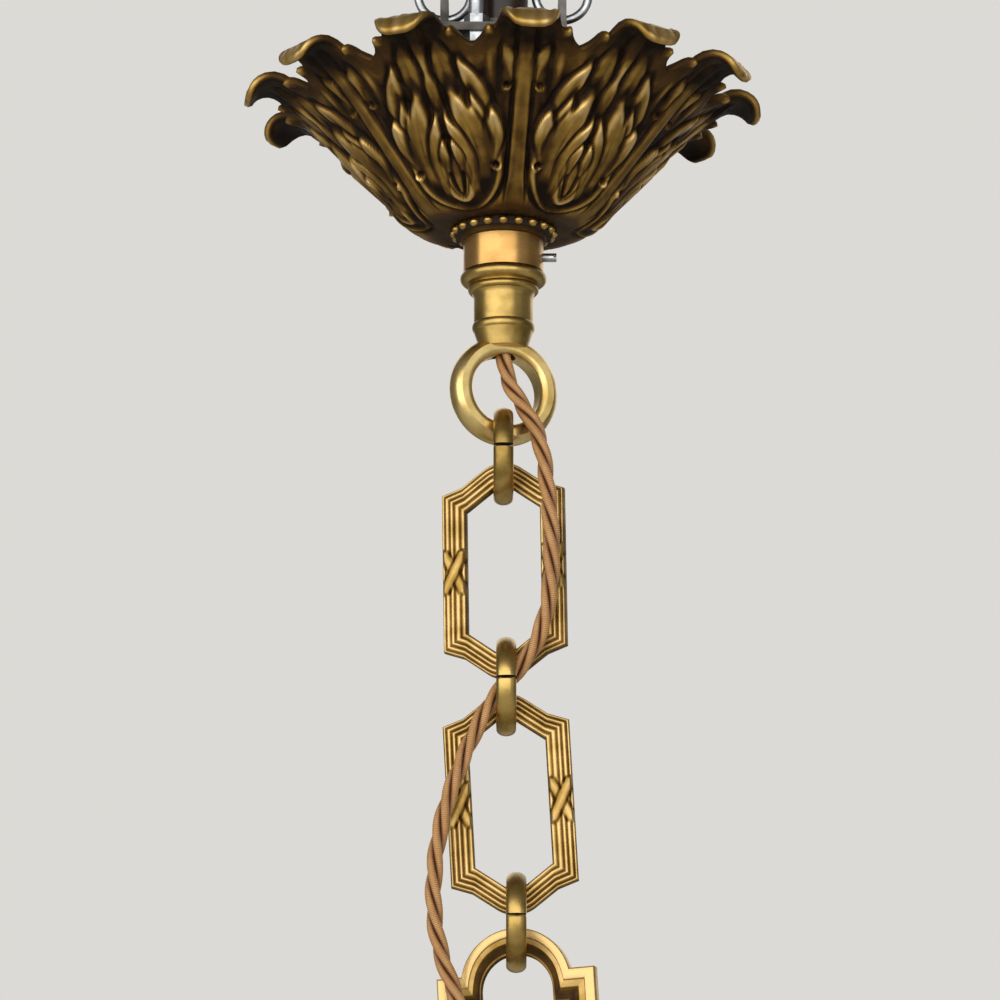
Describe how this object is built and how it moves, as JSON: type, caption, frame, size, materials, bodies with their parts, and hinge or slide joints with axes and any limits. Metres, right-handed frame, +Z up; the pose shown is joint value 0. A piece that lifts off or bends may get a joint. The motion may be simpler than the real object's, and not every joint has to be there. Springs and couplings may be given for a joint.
{
  "type": "chandelier suspension",
  "caption": "Leafy cast brass ceiling canopy with a turned neck, loop, reeded chain and twisted braided flex, ending in a threaded loop for a lamp body.",
  "frame": {"origin": "middle of the ceiling plate's upper face, in the plane of the ceiling, between its two screw holes", "axes": "+Z up into the ceiling, +X to the right of someone facing the lamp, +Y away from them"},
  "size_m": [0.1492, 0.1492, 0.4257],
  "materials": {
    "cast_brass": "cast, chased, dark in the recesses",
    "brass": "turned, dulled by age",
    "polished_brass": "polished",
    "brass_tube": "drawn",
    "steel": "zinc plated",
    "bakelite": "moulded",
    "silk_flex": "braided"
  },
  "bodies": {
    "ceiling_plate": {"ceiling_plate": "steel"},
    "hanging_links": {"hanging_link_left": "steel", "hanging_link_right": "steel"},
    "stem": {"hanger_bracket": "steel", "stem_tube": "brass_tube", "stem_nut_upper": "steel", "stem_nut_lower": "steel", "terminal_block": "bakelite", "terminal_screws": "brass_tube", "earth_screw": "steel", "earth_nut": "steel", "neck": "brass", "loop_ring": "brass", "flex_in_stem": "silk_flex", "twisted_flex": "silk_flex"},
    "collar": {"collar": "polished_brass"},
    "collar_screw": {"collar_screw": "steel"},
    "canopy": {"canopy": "cast_brass", "bead_ring": "cast_brass"},
    "ring_1": {"ring_1": "brass"},
    "link_1": {"link_1": "cast_brass"},
    "ring_2": {"ring_2": "brass"},
    "link_2": {"link_2": "cast_brass"},
    "ring_3": {"ring_3": "brass"},
    "link_3": {"link_3": "cast_brass"},
    "ring_4": {"ring_4": "brass"},
    "body_loop": {"body_loop": "brass"}
  },
  "joints": [
    {"name": "links_swing", "type": "hinge", "parent": "ceiling_plate", "child": "hanging_links", "pos_m": [0, 0, -0.0082], "axis": [1, 0, 0], "range_deg": [-10, 10]},
    {"name": "stem_swing", "type": "hinge", "parent": "hanging_links", "child": "stem", "pos_m": [0, 0, -0.0295], "axis": [1, 0, 0], "range_deg": [-10, 10]},
    {"name": "collar_slide", "type": "slide", "parent": "stem", "child": "collar", "axis": [0, 0, 1], "range_m": [0, 0.0498]},
    {"name": "collar_screw_turn_out", "type": "slide", "parent": "collar", "child": "collar_screw", "axis": [1, 0, 0], "range_m": [0, 0.002]},
    {"name": "canopy_turn", "type": "hinge", "parent": "collar", "child": "canopy", "pos_m": [0, 0, -0.0986], "axis": [0, 0, 1], "continuous": true},
    {"name": "ring_1_swing", "type": "hinge", "parent": "stem", "child": "ring_1", "pos_m": [0, 0, -0.1578], "axis": [0.9397, 0.342, 0], "range_deg": [-15, 15], "deforming": ["twisted_flex"]},
    {"name": "link_1_swing", "type": "hinge", "parent": "ring_1", "child": "link_1", "pos_m": [0, 0, -0.1761], "axis": [0, 1, 0], "range_deg": [-15, 15]},
    {"name": "ring_2_swing", "type": "hinge", "parent": "link_1", "child": "ring_2", "pos_m": [0.00079, 0, -0.22639], "axis": [0.9702, -0.2419, 0.0152], "range_deg": [-15, 15]},
    {"name": "link_2_swing", "type": "hinge", "parent": "ring_2", "child": "link_2", "pos_m": [0.00079, 0, -0.24449], "axis": [0, 1, 0], "range_deg": [-15, 15]},
    {"name": "ring_3_swing", "type": "hinge", "parent": "link_2", "child": "ring_3", "pos_m": [0.0036, 0, -0.29472], "axis": [0.9978, -0.0349, 0.0558], "range_deg": [-15, 15]},
    {"name": "link_3_swing", "type": "hinge", "parent": "ring_3", "child": "link_3", "pos_m": [0.0036, 0, -0.31282], "axis": [0, 1, 0], "range_deg": [-15, 15]},
    {"name": "ring_4_swing", "type": "hinge", "parent": "link_3", "child": "ring_4", "pos_m": [0.00667, 0, -0.36457], "axis": [0.9764, -0.2079, 0.058], "range_deg": [-15, 15]},
    {"name": "body_loop_swing", "type": "hinge", "parent": "ring_4", "child": "body_loop", "pos_m": [0.00667, 0, -0.38252], "axis": [0, 1, 0], "range_deg": [-20, 20]}
  ]
}
